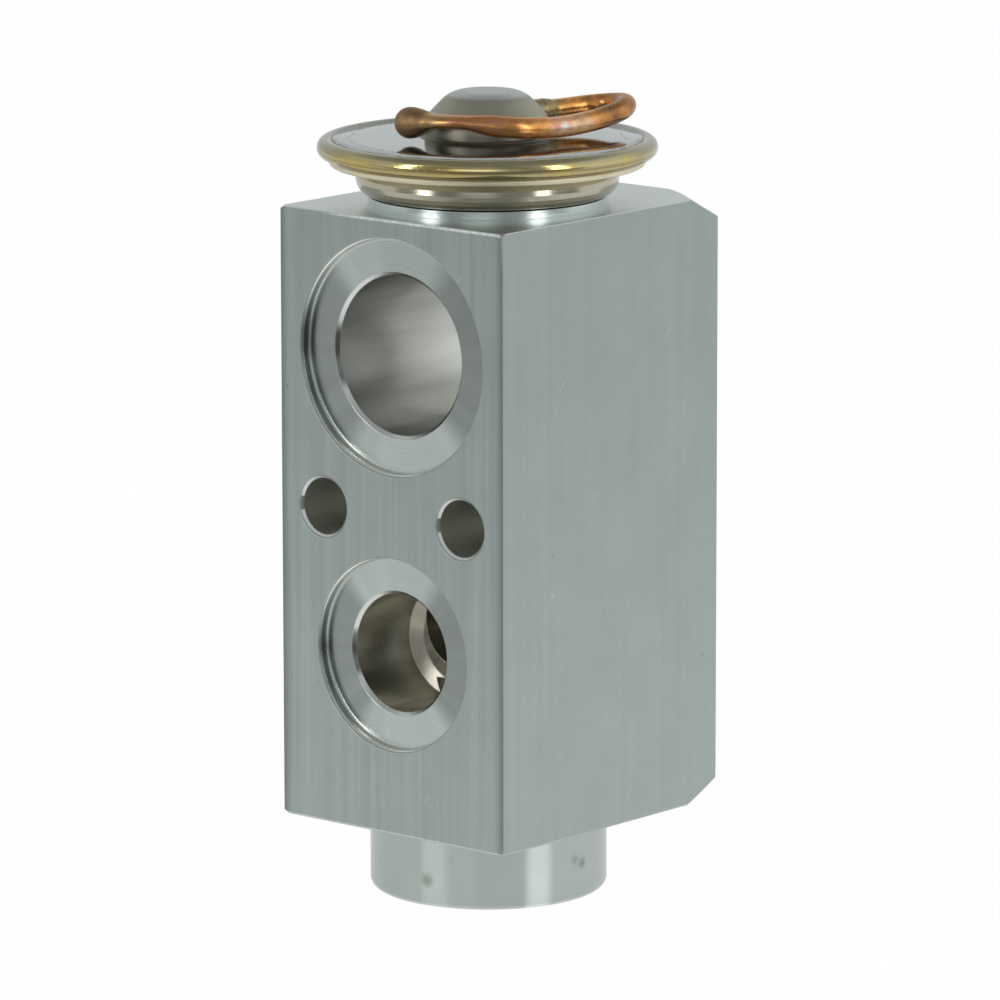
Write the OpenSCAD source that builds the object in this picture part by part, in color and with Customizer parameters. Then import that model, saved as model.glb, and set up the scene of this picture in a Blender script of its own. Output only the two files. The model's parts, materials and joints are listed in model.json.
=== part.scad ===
// Block expansion valve with its charged power head, in millimetres.
// Z is the valve axis and points up, the face with the two front ports looks along -Y,
// and the origin is the centre of the foot boss's end face.

/* [Block] */
// Width of the block, along X
block_w = 32.8; // [32:0.1:38]
// Depth of the block, from the front face to the rear face
block_d = 37.5; // [36:0.1:42]
// Height of the block between its two end faces
block_h = 70; // [69.6:0.1:74]
// Distance of the valve axis behind the front face
axis_to_front = 16.6; // [16.2:0.1:18]
// Radius to which the block's corners are turned at both end faces
corner_r = 22.8; // [21.5:0.1:24]
// Angle of the turned corners below the end face, in degrees
corner_angle = 32.5; // [25:0.5:45]

/* [Turned bosses] */
// Radius of the foot boss and of the neck under the power head
boss_r = 13.5; // [13.2:0.1:15]
// Height of the foot boss below the block
foot_h = 8.8; // [8.5:0.1:10]
// Rounding of the foot boss's lower edge
foot_edge_r = 1.1; // [0.4:0.1:2]
// Height of the neck above the block
neck_h = 0.95; // [0.8:0.05:2]

/* [Port recesses] */
// Depth of the seal recess around each port
recess_depth = 1.3; // [1:0.1:2]
// Width of the broken edge around each recess
edge_break = 0.3; // [0.1:0.05:0.5]
// Fillet between a recess's wall and its floor
recess_fillet = 0.35; // [0.1:0.05:0.5]
// Chamfer at the mouth of each port bore
mouth_chamfer = 0.42; // [0.2:0.02:0.9]

/* [Suction passage] */
// Height of the suction passage above the block's lower face
suction_up = 54.5; // [54:0.1:55]
// Radius of the suction bore in the front face
suction_r = 9.05; // [8.8:0.05:9.5]
// Radius of the suction bore in the rear face
suction_rear_r = 8.6; // [8:0.05:8.7]
// Depth of the rear suction bore, up to where it meets the front one
suction_rear_depth = 14.9; // [12:0.1:16]
// Radius of the suction port recesses
suction_recess_r = 13.3; // [12:0.1:14]

/* [Liquid outlet in the front face] */
// Height of the outlet port above the block's lower face
outlet_up = 20.6; // [20:0.1:21.5]
// Radius of the outlet bore
outlet_r = 6.75; // [6.6:0.05:7.5]
// Radius of the outlet port recess
outlet_recess_r = 10.9; // [9.5:0.1:12]
// Depth of the outlet bore behind the front face
outlet_depth = 11.4; // [9:0.1:11.6]
// Length of the cone at the end of the outlet bore
outlet_cone = 0.7; // [0.3:0.1:1]
// Radius of the inner drilling that leads from the outlet bore to the orifice
outlet_drill_r = 4.8; // [4:0.1:5]
// Height of the inner drilling above the outlet bore's axis
outlet_drill_rise = 1.5; // [1:0.1:1.6]

/* [Liquid inlet in the rear face] */
// Height of the inlet port above the block's lower face
inlet_up = 11.7; // [11.4:0.1:12]
// Radius of the inlet bore
inlet_r = 5.25; // [5:0.05:6]
// Radius of the inlet port recess
inlet_recess_r = 8.6; // [8:0.1:9.4]
// Depth of the inlet bore behind the rear face
inlet_depth = 11.4; // [9:0.1:12]
// Radius of the inner drilling that leads from the inlet bore to the spring chamber
inlet_drill_r = 3.8; // [3:0.1:3.8]

/* [Bolt holes] */
// Height of the two bolt holes above the block's lower face
bolt_up = 36.3; // [35.6:0.1:36.8]
// Distance between the two bolt holes
bolt_pitch = 20.4; // [18:0.1:22]
// Diameter of the bolt holes, a clearance fit on an M6 screw
bolt_d = 6.5; // [6.2:0.1:6.8]
// Chamfer at both ends of each bolt hole
bolt_chamfer = 0.4; // [0.2:0.05:0.8]

/* [Orifice and seat] */
// Radius of the spring chamber
chamber_r = 6.2; // [6.1:0.05:6.5]
// Wall between the spring chamber and the outlet drilling
seat_wall = 1.5; // [1.3:0.1:1.6]
// Radius of the orifice
orifice_r = 2.3; // [2:0.05:2.4]
// Radius of the conical seat at its lower end
seat_r = 3.2; // [3.1:0.05:3.4]
// Length of the orifice with its seat
orifice_len = 2.4; // [2.2:0.1:2.8]
// Radius of the mixing chamber above the orifice
mixing_r = 3.6; // [3.2:0.1:4]
// Height of the mixing chamber above the top of the outlet drilling
mixing_over = 0.8; // [0.4:0.1:1.2]

/* [Ball and carrier] */
// Radius of the valve ball
ball_r = 3.6; // [3.5:0.05:3.7]
// How far the valve train moves down from shut to fully open
lift = 0.8; // [0.5:0.05:0.9]
// Radius of the carrier's flange, on which the springs bear
flange_r = 5.2; // [5.1:0.05:5.3]
// Thickness of the carrier's flange
flange_t = 1.2; // [1:0.1:1.4]
// Radius of the carrier's rim around the ball
rim_r = 4.5; // [4.3:0.05:4.6]
// Height of the carrier's rim above its flange
rim_h = 1.4; // [1.2:0.1:1.6]
// Radius of the spigot that centres the superheat spring
spigot_r = 3.3; // [3:0.05:3.4]
// Length of the spigot
spigot_h = 2.8; // [2:0.1:3]
// Number of spring fingers on the damping spring
finger_n = 8; // [4:1:10]
// Width of each spring finger, in degrees around the axis
finger_span = 20; // [12:1:24]
// Thickness of the damping spring's sheet
finger_t = 0.2; // [0.15:0.05:0.25]
// Length of the spring fingers down the chamber wall
finger_len = 4.6; // [3:0.1:4.8]

/* [Superheat spring] */
// Mean coil radius of the superheat spring
coil_r = 4.2; // [4.15:0.05:4.25]
// Wire radius of the superheat spring
wire_r = 0.65; // [0.55:0.05:0.65]
// Fitted length of the superheat spring
spring_len = 8; // [7.6:0.1:8.4]
// Total number of turns
spring_turns = 4.5; // [3.5:0.5:4.5]
// Closed turns at each end
end_turns = 0.75; // [0.5:0.25:1]

/* [Adjusting screw] */
// Radius of the screw's thread
thread_r = 6.95; // [6.8:0.05:7]
// Length of the thread
thread_len = 5.2; // [4.8:0.1:5.3]
// Depth of the screw's end below the foot's end face
screw_inset = 1; // [1:0.1:1.1]
// How far the screw advances in one turn
thread_pitch = 1; // [0.75:0.25:1]
// Width across the flats of the hexagon socket
socket_af = 6; // [5.8:0.1:6.4]
// Depth of the hexagon socket
socket_depth = 4.8; // [4.5:0.1:4.9]
// Radius of the cup that holds the superheat spring
cup_r = 5; // [4.95:0.05:5.1]
// Height of the cup's wall
cup_h = 2; // [1:0.1:2.2]
// Distance from the top of the thread to the seal groove
groove_up = 1.8; // [1.6:0.1:2]
// Width of the seal groove
groove_w = 1.8; // [1.7:0.1:1.9]
// Thickness of metal between the seal groove and the cup's floor
cup_floor = 0.8; // [0.6:0.1:1]
// Section radius of the seals on the screw and under the power head
seal_t = 0.66; // [0.6:0.02:0.68]

/* [Rod and pin] */
// Radius of the sensing rod
rod_r = 2.93; // [2.8:0.01:3]
// Radius of the actuating pin
pin_r = 1.2; // [1:0.05:1.25]
// Depth of the hole that holds the pin in the sensing rod
pin_socket = 3; // [2:0.1:4]
// Height of the rod seal's housing above the mixing chamber
guide_len = 10.2; // [9.6:0.1:10.8]
// Section radius of the rod seal
rod_seal_t = 0.82; // [0.7:0.02:0.84]
// Thickness of the rod seal's retainer
retainer_t = 0.5; // [0.4:0.05:0.6]
// Number of teeth on the retainer
retainer_teeth = 6; // [4:1:8]
// Gap between the retainer and the shut sensing rod
rod_drop = 1; // [0.95:0.05:1.3]
// Radius of the pressure hole around the sensing rod, above the suction bore
vent_r = 3.6; // [3.4:0.05:3.8]

/* [Power head] */
// Radius of the threaded spigot under the power head
head_thread_r = 10.95; // [10.8:0.05:11]
// Length of the threaded spigot
head_thread_len = 4.75; // [4.2:0.05:4.8]
// Radius of the hole through the spigot
head_bore_r = 9; // [8.6:0.1:9.2]
// Depth of the threaded pocket below the neck's top
pocket_depth = 5.15; // [5.1:0.05:5.3]
// Outer radius of the bowl
bowl_r = 14.85; // [14.6:0.05:15.2]
// Radius of the bowl's rounded wall
bowl_edge_r = 2; // [1.9:0.1:2.3]
// Sheet thickness of the lower lid
lower_t = 1.2; // [1.1:0.05:1.25]
// Height of the bowl, from the neck to the underside of its flange
bowl_h = 3.45; // [3.4:0.05:3.6]
// Thickness of the lower lid's flange
head_flange_t = 1.15; // [1.05:0.05:1.25]
// Radius of the welded joint between the two lids
joint_r = 17.5; // [17.3:0.05:17.7]
// How far the lower lid's flange reaches past the joint
flange_out = 0.35; // [0.25:0.05:0.5]
// Rounding of the flange's rim
flange_edge_r = 0.4; // [0.2:0.05:0.42]
// Radius of the weld bead's section
bead_t = 1.1; // [1:0.05:1.15]
// How far the centre of the weld bead's section lies outside the joint
bead_out = 0.6; // [0.5:0.05:0.7]
// Thickness of the diaphragm
diaphragm_t = 0.15; // [0.1:0.01:0.2]
// Number of rings pressed into the diaphragm
diaphragm_waves = 3; // [1:1:4]
// Height of the diaphragm's pressed rings
wave_h = 0.3; // [0.1:0.02:0.32]
// Thickness of the upper lid at its rim
upper_t = 1.6; // [1.4:0.05:1.7]
// Rise of the upper lid from its rim to the dome
lid_crown = 0.2; // [0.1:0.05:0.4]
// Space above the diaphragm
gas_gap = 0.5; // [0.4:0.05:0.6]
// Radius of the stop plate under the diaphragm
stop_r = 12.2; // [11:0.1:12.6]
// Radius of the hub that holds the sensing rod
hub_r = 5; // [4.2:0.1:6]
// Length of the hub below the stop plate
hub_h = 2.85; // [2:0.05:3.4]

/* [Dome] */
// Radius of the dome's wall
dome_r = 7.1; // [6.8:0.1:7.2]
// Height of the dome above the lid
dome_h = 5.2; // [5:0.1:5.6]
// Height at which the dome's wall bends inwards
dome_wall_h = 2.1; // [1.9:0.1:2.4]
// Radius at which the slope would reach the dome's flat top
dome_top_r = 4.1; // [3.8:0.05:4.4]
// Rounding of the dome's shoulder
dome_shoulder_r = 2.6; // [1:0.1:2.8]
// Rounding of the dome's top edge
dome_edge_r = 3.6; // [1.5:0.1:3.8]
// Fillet between the dome and the lid
dome_fillet = 0.5; // [0.2:0.1:0.8]
// Sheet thickness of the dome
dome_t = 0.8; // [0.6:0.05:1]

/* [Charge tube] */
// Outer radius of the copper tube
tube_r = 1.2; // [1.1:0.01:1.22]
// Radius of the sealed ball at the tube's end
tube_ball_r = 1.78; // [1.6:0.02:1.8]
// Direction of the tube's own frame around the valve axis, in degrees
tube_turn = 40.7; // [35:0.1:46]
// Direction in which the tube leaves the dome, in the tube's own frame
stub_angle = 33.5; // [30:0.5:36]
// Height of the tube above the lid where it leaves the dome
stub_up = 2.25; // [2.1:0.05:2.4]
// Outer radius of the steel ferrule
ferrule_r = 1.38; // [1.34:0.02:1.5]
// Distance of the ferrule's inner end from the valve axis
ferrule_from = 4.7; // [4.6:0.1:5]
// Distance of the ferrule's outer end from the valve axis
ferrule_to = 7.1; // [7:0.1:7.4]
// Length of the braze fillet on the ferrule's end
braze_len = 1.5; // [0.8:0.1:1.6]
// Thickness of the braze on the tube
braze_t = 0.14; // [0.08:0.02:0.2]
// Height of the tube where it is pinched shut
pinch_h = 1.4; // [1.2:0.05:1.6]
// How much wider the pinched tube is than the round one, on each side
pinch_w = 0.25; // [0.1:0.05:0.4]
// Length over which the ball narrows to the pinched tube
neck_len = 0.6; // [0.5:0.1:0.9]
// Number of sides of the tube's section
tube_sides = 16; // [12:4:20]

/* [Clearances] */
// Radial running clearance of moving fits
run_gap = 0.05; // [0.03:0.01:0.08]
// Gap between parts that rest on each other
seat_gap = 0.02; // [0.01:0.01:0.04]

/* [Hidden] */
$fn = 96;
over = 1;
arc_steps = 8;
aluminium = [0.60, 0.63, 0.62];
steel = [0.62, 0.60, 0.54];
rubber = [0.10, 0.10, 0.11];

// Stations along the valve axis, from the foot upwards
block_z0 = foot_h;
block_z1 = block_z0 + block_h;
neck_z1 = block_z1 + neck_h;
suction_z = block_z0 + suction_up;
outlet_z = block_z0 + outlet_up;
outlet_drill_z = outlet_z + outlet_drill_rise;
inlet_z = block_z0 + inlet_up;
bolt_z = block_z0 + bolt_up;
front_y = -axis_to_front;
rear_y = block_d - axis_to_front;
chamber_z1 = outlet_drill_z - outlet_drill_r - seat_wall;
orifice_z1 = chamber_z1 + orifice_len;
mixing_z1 = outlet_drill_z + outlet_drill_r + mixing_over;
housing_z0 = mixing_z1 + guide_len;
housing_r = rod_r + run_gap;
pocket_z0 = neck_z1 - pocket_depth;
pocket_r = head_thread_r + run_gap;

// Adjusting screw and its bore
screw_z0 = screw_inset;
screw_thread_z1 = screw_z0 + thread_len;
thread_bore_r = thread_r + run_gap;
thread_bore_z1 = screw_thread_z1 + thread_pitch + 0.2;
screw_body_r = chamber_r - 0.1;
groove_z0 = screw_thread_z1 + groove_up;
groove_z1 = groove_z0 + groove_w;
groove_root_r = chamber_r - 2 * seal_t - 0.1;
cup_z0 = groove_z1 + cup_floor;
cup_z1 = cup_z0 + cup_h;

// Valve train, shut
ball_z = chamber_z1 + seat_r - ball_r * sqrt(2) - run_gap * sqrt(2);
cup_apex_z = ball_z - ball_r * sqrt(2) - seat_gap * sqrt(2);
flange_z0 = cup_z0 + spring_len;
flange_z1 = flange_z0 + flange_t;
rim_z1 = flange_z1 + rim_h;
retainer_z0 = housing_z0 + 2 * rod_seal_t + 2 * seat_gap;
retainer_z1 = retainer_z0 + retainer_t;
rod_z0 = retainer_z1 + rod_drop;

// Power head
head_flange_r = joint_r + flange_out;
bead_r = joint_r + bead_out;
bowl_floor_z = neck_z1 + lower_t;
head_flange_z0 = neck_z1 + bowl_h;
head_flange_z1 = head_flange_z0 + head_flange_t;
bead_z = head_flange_z1 - 0.3 + bead_t;
diaphragm_z0 = head_flange_z1 + seat_gap;
diaphragm_z1 = diaphragm_z0 + diaphragm_t;
upper_z0 = diaphragm_z1 + seat_gap;
lid_rim_z = upper_z0 + upper_t;
lid_z = lid_rim_z + lid_crown;
stop_z0 = bowl_floor_z + lift + 0.1;
stop_z1 = head_flange_z1 - seat_gap;
rod_z1 = stop_z0 + 0.7;
stub_z = lid_z + stub_up;

// Points of an arc, from angle a0 to angle a1
function arc(c, r, a0, a1) =
    [for (i = [0:arc_steps]) let (a = a0 + (a1 - a0) * i / arc_steps) [c[0] + r * cos(a), c[1] + r * sin(a)]];

// Arc that rounds corner b of the path a, b, c with radius r
function rounded(a, b, c, r) =
    let (u = (a - b) / norm(a - b), v = (c - b) / norm(c - b),
         half = acos(u * v) / 2, w = (u + v) / norm(u + v), m = b + w * r / sin(half),
         p = b + u * r / tan(half) - m, q = b + v * r / tan(half) - m,
         a0 = atan2(p[1], p[0]), turn = atan2(p[0] * q[1] - p[1] * q[0], p * q))
    arc(m, r, a0, a0 + turn);

module turned(points) {
    rotate_extrude() polygon(points);
}

module o_ring(ring_r, section_r, z) {
    translate([0, 0, z]) rotate_extrude() translate([ring_r, 0]) circle(r = section_r, $fn = 32);
}

// Cutter for one port: broken edge, seal recess, chamfered mouth and bore, along +Z from the face
module port(bore_r, rec_r, depth, cone = 0, drill_r = 0) {
    turned(concat(
        [[0, -over], [rec_r + edge_break + over, -over], [rec_r, edge_break]],
        [for (p = arc([rec_r - recess_fillet, recess_depth - recess_fillet], recess_fillet, 0, 90)) p],
        [[bore_r + mouth_chamfer, recess_depth], [bore_r, recess_depth + mouth_chamfer],
         [bore_r, depth - cone], [cone > 0 ? drill_r + 0.3 : bore_r, depth], [0, depth]]));
}

module front_port(z) {
    translate([0, front_y, z]) rotate([-90, 0, 0]) children();
}

module rear_port(z) {
    translate([0, rear_y, z]) rotate([90, 0, 0]) children();
}

// Block with its corners turned at both ends
module block_blank() {
    far_r = 28;
    far_drop = (far_r - corner_r) * tan(corner_angle);
    intersection() {
        translate([-block_w / 2, front_y, block_z0]) cube([block_w, block_d, block_h]);
        turned([[0, block_z0], [corner_r, block_z0], [far_r, block_z0 + far_drop],
                [far_r, block_z1 - far_drop], [corner_r, block_z1], [0, block_z1]]);
    }
}

module foot_boss() {
    turned(concat([[0, 0]], arc([boss_r - foot_edge_r, foot_edge_r], foot_edge_r, -90, 0),
                  [[boss_r, block_z0 + over], [0, block_z0 + over]]));
}

// Everything bored from below: thread, spring chamber, seat, orifice, mixing chamber and rod guide
module lower_bores() {
    turned([[0, -over], [thread_bore_r + 0.5 + over, -over], [thread_bore_r, 0.5],
            [thread_bore_r, thread_bore_z1], [chamber_r, thread_bore_z1 + 0.4], [chamber_r, chamber_z1],
            [seat_r, chamber_z1], [orifice_r, chamber_z1 + seat_r - orifice_r], [orifice_r, orifice_z1],
            [mixing_r, orifice_z1], [mixing_r, mixing_z1], [pin_r + run_gap, mixing_z1],
            [pin_r + run_gap, housing_z0], [housing_r, housing_z0], [housing_r, suction_z], [0, suction_z]]);
}

// Everything bored from above: pressure hole, threaded pocket and seal groove
module upper_bores() {
    turned([[0, suction_z], [vent_r, suction_z], [vent_r, pocket_z0], [pocket_r, pocket_z0],
            [pocket_r, neck_z1 - 2 * seal_t - 0.06], [pocket_r + 2 * seal_t + 0.1, neck_z1 - 2 * seal_t - 0.06],
            [pocket_r + 2 * seal_t + 0.1, neck_z1 + over], [0, neck_z1 + over]]);
}

module bolt_hole() {
    r = bolt_d / 2;
    turned([[0, -over], [r + bolt_chamfer + over, -over], [r, bolt_chamfer], [r, block_d - bolt_chamfer],
            [r + bolt_chamfer + over, block_d + over], [0, block_d + over]]);
}

module valve_body() {
    color(aluminium) difference() {
        union() {
            block_blank();
            foot_boss();
            translate([0, 0, block_z1 - over]) cylinder(r = boss_r, h = neck_h + over);
        }
        front_port(suction_z) port(suction_r, suction_recess_r, block_d - suction_rear_depth);
        rear_port(suction_z) port(suction_rear_r, suction_recess_r, suction_rear_depth + over);
        front_port(outlet_z) port(outlet_r, outlet_recess_r, outlet_depth, outlet_cone, outlet_drill_r);
        front_port(outlet_drill_z) translate([0, 0, outlet_depth - over])
            cylinder(r = outlet_drill_r, h = axis_to_front - outlet_depth + over - orifice_r - 0.5);
        rear_port(inlet_z) port(inlet_r, inlet_recess_r, inlet_depth, outlet_cone, inlet_drill_r);
        rear_port(inlet_z) translate([0, 0, inlet_depth - over])
            cylinder(r = inlet_drill_r, h = rear_y - inlet_depth + over - chamber_r / 2);
        for (side = [-1, 1]) translate([side * bolt_pitch / 2, 0, 0]) front_port(bolt_z) bolt_hole();
        lower_bores();
        upper_bores();
    }
}

module adjusting_screw() {
    color([0.72, 0.62, 0.32]) difference() {
        turned([[0, screw_z0], [thread_r - 0.5, screw_z0], [thread_r, screw_z0 + 0.5],
                [thread_r, screw_thread_z1 - 0.5], [thread_r - 0.5, screw_thread_z1],
                [screw_body_r, screw_thread_z1], [screw_body_r, groove_z0], [groove_root_r, groove_z0],
                [groove_root_r, groove_z1], [screw_body_r, groove_z1], [screw_body_r, cup_z1],
                [cup_r, cup_z1], [cup_r, cup_z0], [0, cup_z0]]);
        translate([0, 0, screw_z0 - over])
            cylinder(r = socket_af / sqrt(3), h = socket_depth + over, $fn = 6);
    }
}

module adjusting_screw_seal() {
    color(rubber) o_ring(groove_root_r + seal_t + seat_gap, seal_t, (groove_z0 + groove_z1) / 2);
}

// Height of the spring's wire at turn t: closed turns at both ends, open turns between
function wire_z(t) =
    let (low = cup_z0 + wire_r + seat_gap, closed = 2 * wire_r + 0.02,
         open = (spring_len - 2 * wire_r - 2 * seat_gap - 2 * end_turns * closed) / (spring_turns - 2 * end_turns))
    t < end_turns ? low + closed * t :
    t < spring_turns - end_turns ? low + closed * end_turns + open * (t - end_turns) :
    low + spring_len - 2 * wire_r - 2 * seat_gap - closed * (spring_turns - t);

// Ring of n points of radii ra across and rb up, around point c of a path whose plan direction is heading
function section(c, heading, ra, rb, n) =
    [for (i = [0:n - 1]) let (a = 360 * i / n)
        [c[0] + ra * cos(a) * sin(heading), c[1] - ra * cos(a) * cos(heading), c[2] + rb * sin(a)]];

// Closed skin over a list of rings that all have n points
module skin(rings, n) {
    last = len(rings) - 1;
    polyhedron(
        points = [for (ring = rings) for (p = ring) p],
        faces = concat(
            [[for (i = [0:n - 1]) i]],
            [[for (i = [0:n - 1]) last * n + n - 1 - i]],
            [for (k = [0:last - 1]) for (i = [0:n - 1])
                each [[k * n + i, (k + 1) * n + i, (k + 1) * n + (i + 1) % n],
                      [k * n + i, (k + 1) * n + (i + 1) % n, k * n + (i + 1) % n]]]));
}

module superheat_spring() {
    steps = 18 * spring_turns;
    color([0.62, 0.64, 0.66]) skin(
        [for (i = [0:steps]) let (t = spring_turns * i / steps, a = 360 * t)
            section([coil_r * cos(a), coil_r * sin(a), wire_z(t)], a + 90, wire_r, wire_r, 8)], 8);
}

module ball_carrier() {
    color(steel) difference() {
        turned([[0, flange_z0 - spigot_h], [spigot_r - 0.4, flange_z0 - spigot_h],
                [spigot_r, flange_z0 - spigot_h + 0.4], [spigot_r, flange_z0], [flange_r, flange_z0],
                [flange_r, flange_z1], [rim_r, flange_z1], [rim_r, rim_z1], [0, rim_z1]]);
        turned([[0, cup_apex_z + 1], [1, cup_apex_z + 1], [rim_z1 + over - cup_apex_z, rim_z1 + over],
                [0, rim_z1 + over]]);
    }
}

// Sheet ring on the carrier's flange, with fingers bent down along the chamber wall
module damping_spring() {
    wall_r = chamber_r - 0.08;
    neck_r = flange_r + 0.2;
    low = flange_z1 + seat_gap;
    color([0.66, 0.67, 0.68]) {
        difference() {
            translate([0, 0, low]) cylinder(r = neck_r, h = finger_t);
            translate([0, 0, low - over]) cylinder(r = rim_r + run_gap, h = finger_t + 2 * over);
        }
        for (i = [0:finger_n - 1]) rotate([0, 0, i * 360 / finger_n - finger_span / 2])
            rotate_extrude(angle = finger_span)
                polygon([[neck_r - 0.1, low], [neck_r - 0.1, low + finger_t], [wall_r - 0.2, low + finger_t],
                         [wall_r, low - 0.1], [wall_r, low - finger_len],
                         [wall_r - finger_t, low - finger_len], [wall_r - finger_t, low - 0.1],
                         [wall_r - finger_t - 0.1, low]]);
    }
}

module valve_ball() {
    color([0.80, 0.81, 0.82]) translate([0, 0, ball_z]) sphere(r = ball_r);
}

module actuating_pin() {
    z0 = ball_z + ball_r + seat_gap;
    color([0.78, 0.79, 0.80]) translate([0, 0, z0])
        cylinder(r = pin_r, h = rod_z0 + pin_socket - 0.1 - z0);
}

module rod_seal() {
    color(rubber) o_ring(pin_r + run_gap + rod_seal_t, rod_seal_t, housing_z0 + rod_seal_t + seat_gap);
}

module rod_seal_retainer() {
    ring_r = housing_r - 0.03;
    color(steel) difference() {
        translate([0, 0, retainer_z0]) cylinder(r = ring_r, h = retainer_t);
        translate([0, 0, retainer_z0 - over]) cylinder(r = pin_r + 0.25, h = retainer_t + 2 * over);
        for (i = [0:retainer_teeth - 1]) rotate([0, 0, i * 360 / retainer_teeth])
            translate([0, -0.2, retainer_z0 - over]) cube([ring_r - 0.5, 0.4, retainer_t + 2 * over]);
    }
}

module sensing_rod() {
    color(aluminium) difference() {
        turned([[0, rod_z0], [rod_r - 0.3, rod_z0], [rod_r, rod_z0 + 0.3], [rod_r, rod_z1], [0, rod_z1]]);
        translate([0, 0, rod_z0 - over]) cylinder(r = pin_r + 0.03, h = pin_socket + over);
    }
}

module diaphragm_stop() {
    hub_z0 = stop_z0 - hub_h;
    color([0.74, 0.66, 0.42]) turned([[rod_r + run_gap, hub_z0], [hub_r, hub_z0], [hub_r, stop_z0],
        [stop_r - 0.5, stop_z0], [stop_r, stop_z0 + 0.5], [stop_r, stop_z1 - 0.5], [stop_r - 0.5, stop_z1],
        [0, stop_z1], [0, rod_z1 + seat_gap], [rod_r + run_gap, rod_z1 + seat_gap]]);
}

module head_seal() {
    color(rubber) o_ring(pocket_r + seal_t + 0.05, seal_t, neck_z1 - seal_t - 0.03);
}

module lower_lid() {
    inner_r = bowl_r - lower_t;
    spigot_z0 = neck_z1 - head_thread_len;
    rise = asin(min(1, bowl_h / bowl_edge_r - 1));
    lip_r = head_flange_r - flange_edge_r;
    step_z = head_flange_z1 - 0.3;
    color([0.52, 0.48, 0.40]) turned(concat(
        [[head_bore_r, spigot_z0], [head_thread_r - 0.5, spigot_z0], [head_thread_r, spigot_z0 + 0.5],
         [head_thread_r, neck_z1]],
        arc([bowl_r - bowl_edge_r, neck_z1 + bowl_edge_r], bowl_edge_r, -90, rise),
        arc([lip_r, head_flange_z0 + flange_edge_r], flange_edge_r, -90, 0),
        arc([lip_r, step_z - flange_edge_r], flange_edge_r, 0, 90),
        [[joint_r, step_z], [joint_r, head_flange_z1], [inner_r + 0.4, head_flange_z1],
         [inner_r, head_flange_z1 - 0.4], [inner_r, bowl_floor_z + 0.3], [inner_r - 0.3, bowl_floor_z],
         [head_bore_r, bowl_floor_z]]));
}

// Corrugated sheet, flat at its clamped rim and over the stop plate
module diaphragm() {
    r0 = stop_r + 0.3;
    r1 = bowl_r - lower_t - 0.1;
    n = 8 * diaphragm_waves;
    wave = [for (i = [0:n]) [r0 + (r1 - r0) * i / n,
                             diaphragm_z0 + wave_h / 2 * (1 - cos(360 * diaphragm_waves * i / n))]];
    color([0.72, 0.72, 0.70]) turned(concat(
        [[0, diaphragm_z0]], wave, [[joint_r, diaphragm_z0], [joint_r, diaphragm_z1]],
        [for (i = [n:-1:0]) wave[i] + [0, diaphragm_t]], [[0, diaphragm_z1]]));
}

module rim_weld_bead() {
    color([0.66, 0.60, 0.36]) difference() {
        o_ring(bead_r, bead_t, bead_z);
        translate([0, 0, bead_z - 2 * bead_t]) cylinder(r = joint_r + run_gap, h = 4 * bead_t);
    }
}

// Half section of the dome's skin, drawn in by t from its outer face
function dome_line(t) =
    let (foot = [dome_r - t, lid_z], shoulder = [dome_r - t, lid_z + dome_wall_h],
         top = [dome_top_r - t / 2, lid_z + dome_h - t], centre = [0, lid_z + dome_h - t])
    concat(rounded(foot, shoulder, top, dome_shoulder_r - t), rounded(shoulder, top, centre, dome_edge_r - t),
           [centre]);

module stub_axis(z) {
    rotate([0, 0, tube_turn + stub_angle]) translate([0, 0, z]) rotate([0, 90, 0]) children();
}

module upper_lid() {
    under_z = upper_z0 + gas_gap;
    color([0.60, 0.60, 0.56]) difference() {
        turned(concat(
            [[0, under_z], [joint_r - 1.4, under_z], [joint_r - 1, upper_z0], [joint_r, upper_z0],
             [joint_r, lid_rim_z]],
            [for (i = [arc_steps:-1:0]) arc([dome_r + dome_fillet, lid_z + dome_fillet], dome_fillet, 180, 270)[i]],
            dome_line(0)));
        turned(concat([[0, under_z - over], [dome_r - dome_t, under_z - over]], dome_line(dome_t)));
        stub_axis(stub_z) translate([0, 0, dome_r / 2]) cylinder(r = ferrule_r + seat_gap, h = dome_r);
    }
}

module tube_ferrule() {
    length = ferrule_to - ferrule_from;
    color([0.60, 0.59, 0.54]) stub_axis(stub_z) translate([0, 0, ferrule_from]) difference() {
        cylinder(r = ferrule_r, h = length);
        translate([0, 0, -over]) cylinder(r = tube_r + seat_gap, h = length + 2 * over);
    }
}

module tube_braze() {
    inner_r = tube_r + seat_gap;
    color([0.50, 0.42, 0.20]) stub_axis(stub_z) translate([0, 0, ferrule_to + seat_gap])
        turned([[inner_r, 0], [ferrule_r, 0], [ferrule_r + 0.04, 0.2], [inner_r + braze_t, braze_len / 2],
                [inner_r + braze_t / 2, braze_len - 0.2], [inner_r, braze_len]]);
}

// Route of the tube in its own frame: x to the side, y to the rear, z above the lid
tube_route = [
    [-8.6, -4.9, 2.2], [-7, -6.2, 2.45], [-4.9, -7.8, 2.7], [-2.2, -8.8, 2.75], [1.2, -9.1, 2.35],
    [4.5, -8.2, 2.05], [8.4, -5, 1.75], [12.4, -1.4, 2.1], [15, 1.5, 2.7], [15.5, 4.1, 3],
    [13.9, 6.4, 2.75], [11.2, 6.9, 2.45]];
stub_end = ferrule_to + braze_len;
tube_points = concat(tube_route,
    [for (r = [stub_end + 0.6, stub_end, ferrule_from + 0.6])
        [r * cos(stub_angle), r * sin(stub_angle), stub_up]]);

// Point at parameter t of the smooth curve through list p
function along(p, t) =
    let (n = len(p) - 1, i = min(floor(t), n - 1), f = t - i,
         a = p[max(i - 1, 0)], b = p[i], c = p[i + 1], d = p[min(i + 2, n)])
    0.5 * (2 * b + (c - a) * f + (2 * a - 5 * b + 4 * c - d) * f * f + (3 * b - a - 3 * c + d) * f * f * f);

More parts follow.
